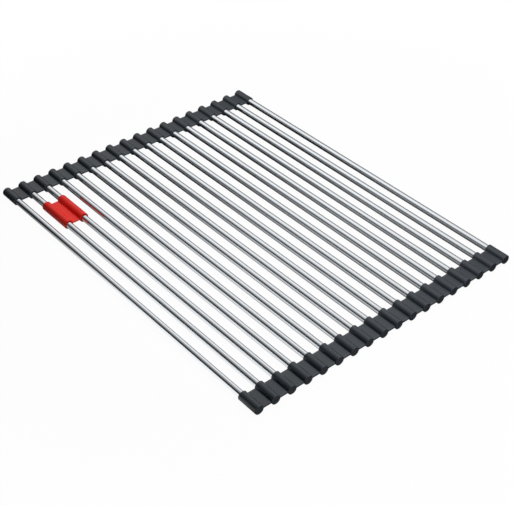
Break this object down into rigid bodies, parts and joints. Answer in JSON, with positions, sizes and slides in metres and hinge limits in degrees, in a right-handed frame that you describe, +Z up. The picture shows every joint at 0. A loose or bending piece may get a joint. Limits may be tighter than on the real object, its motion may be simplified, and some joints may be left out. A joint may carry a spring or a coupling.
{
  "type": "roll up dish drying rack",
  "caption": "Roll-up dish drying rack: parallel polished steel tubes held at both ends in strips of soft hinged links, with a red tag that slides along two tubes.",
  "frame": {"origin": "middle of the rack's footprint, on the surface that it lies on", "axes": "+X along the bars, away from the strip that the tag is nearest; +Y across the bars, from the first to the last, which is the inner end of the roll; +Z up"},
  "size_m": [0.4704, 0.368, 0.011],
  "materials": {
    "bar": "polished stainless steel tube",
    "link": "matt anthracite silicone",
    "tag": "satin red silicone, no lettering"
  },
  "bodies": {
    "row_01": {"bar_01": "bar", "left_link_01": "link", "right_link_01": "link"},
    "row_02": {"bar_02": "bar", "left_link_02": "link", "right_link_02": "link"},
    "row_03": {"bar_03": "bar", "left_link_03": "link", "right_link_03": "link"},
    "row_04": {"bar_04": "bar", "left_link_04": "link", "right_link_04": "link"},
    "row_05": {"bar_05": "bar", "left_link_05": "link", "right_link_05": "link"},
    "row_06": {"bar_06": "bar", "left_link_06": "link", "right_link_06": "link"},
    "row_07": {"bar_07": "bar", "left_link_07": "link", "right_link_07": "link"},
    "row_08": {"bar_08": "bar", "left_link_08": "link", "right_link_08": "link"},
    "row_09": {"bar_09": "bar", "left_link_09": "link", "right_link_09": "link"},
    "row_10": {"bar_10": "bar", "left_link_10": "link", "right_link_10": "link"},
    "row_11": {"bar_11": "bar", "left_link_11": "link", "right_link_11": "link"},
    "row_12": {"bar_12": "bar", "left_link_12": "link", "right_link_12": "link"},
    "row_13": {"bar_13": "bar", "left_link_13": "link", "right_link_13": "link"},
    "row_14": {"bar_14": "bar", "left_link_14": "link", "right_link_14": "link"},
    "row_15": {"bar_15": "bar", "left_link_15": "link", "right_link_15": "link"},
    "row_16": {"bar_16": "bar", "left_link_16": "link", "right_link_16": "link"},
    "row_17": {"bar_17": "bar", "left_link_17": "link", "right_link_17": "link"},
    "row_18": {"bar_18": "bar", "left_link_18": "link", "right_link_18": "link"},
    "tag_02": {"tag_sleeve_02": "tag"},
    "tag_03": {"tag_sleeve_03": "tag"}
  },
  "joints": [
    {"name": "fold_01_02", "type": "hinge", "parent": "row_01", "child": "row_02", "pos_m": [0, -0.168, 0.0048], "axis": [1, 0, 0], "range_deg": [0, 30]},
    {"name": "fold_02_03", "type": "hinge", "parent": "row_02", "child": "row_03", "pos_m": [0, -0.147, 0.0048], "axis": [1, 0, 0], "range_deg": [0, 31]},
    {"name": "fold_03_04", "type": "hinge", "parent": "row_03", "child": "row_04", "pos_m": [0, -0.126, 0.0048], "axis": [1, 0, 0], "range_deg": [0, 32]},
    {"name": "fold_04_05", "type": "hinge", "parent": "row_04", "child": "row_05", "pos_m": [0, -0.105, 0.0048], "axis": [1, 0, 0], "range_deg": [0, 33]},
    {"name": "fold_05_06", "type": "hinge", "parent": "row_05", "child": "row_06", "pos_m": [0, -0.084, 0.0048], "axis": [1, 0, 0], "range_deg": [0, 34]},
    {"name": "fold_06_07", "type": "hinge", "parent": "row_06", "child": "row_07", "pos_m": [0, -0.063, 0.0048], "axis": [1, 0, 0], "range_deg": [0, 35]},
    {"name": "fold_07_08", "type": "hinge", "parent": "row_07", "child": "row_08", "pos_m": [0, -0.042, 0.0048], "axis": [1, 0, 0], "range_deg": [0, 36]},
    {"name": "fold_08_09", "type": "hinge", "parent": "row_08", "child": "row_09", "pos_m": [0, -0.021, 0.0048], "axis": [1, 0, 0], "range_deg": [0, 38]},
    {"name": "fold_09_10", "type": "hinge", "parent": "row_09", "child": "row_10", "pos_m": [0, 0, 0.0048], "axis": [1, 0, 0], "range_deg": [0, 40]},
    {"name": "fold_10_11", "type": "hinge", "parent": "row_10", "child": "row_11", "pos_m": [0, 0.021, 0.0048], "axis": [1, 0, 0], "range_deg": [0, 42]},
    {"name": "fold_11_12", "type": "hinge", "parent": "row_11", "child": "row_12", "pos_m": [0, 0.042, 0.0048], "axis": [1, 0, 0], "range_deg": [0, 44]},
    {"name": "fold_12_13", "type": "hinge", "parent": "row_12", "child": "row_13", "pos_m": [0, 0.063, 0.0048], "axis": [1, 0, 0], "range_deg": [0, 46]},
    {"name": "fold_13_14", "type": "hinge", "parent": "row_13", "child": "row_14", "pos_m": [0, 0.084, 0.0048], "axis": [1, 0, 0], "range_deg": [0, 49]},
    {"name": "fold_14_15", "type": "hinge", "parent": "row_14", "child": "row_15", "pos_m": [0, 0.105, 0.0048], "axis": [1, 0, 0], "range_deg": [0, 53]},
    {"name": "fold_15_16", "type": "hinge", "parent": "row_15", "child": "row_16", "pos_m": [0, 0.126, 0.0048], "axis": [1, 0, 0], "range_deg": [0, 58]},
    {"name": "fold_16_17", "type": "hinge", "parent": "row_16", "child": "row_17", "pos_m": [0, 0.147, 0.0048], "axis": [1, 0, 0], "range_deg": [0, 64]},
    {"name": "fold_17_18", "type": "hinge", "parent": "row_17", "child": "row_18", "pos_m": [0, 0.168, 0.0048], "axis": [1, 0, 0], "range_deg": [0, 70]},
    {"name": "tag_slide_02", "type": "slide", "parent": "row_02", "child": "tag_02", "axis": [1, 0, 0], "range_m": [-0.029, 0.34]},
    {"name": "tag_slide_03", "type": "slide", "parent": "row_03", "child": "tag_03", "axis": [1, 0, 0], "range_m": [-0.029, 0.34]}
  ],
  "couplings": [
    {"joint": "tag_slide_03", "follows": "tag_slide_02", "ratio": 1}
  ]
}
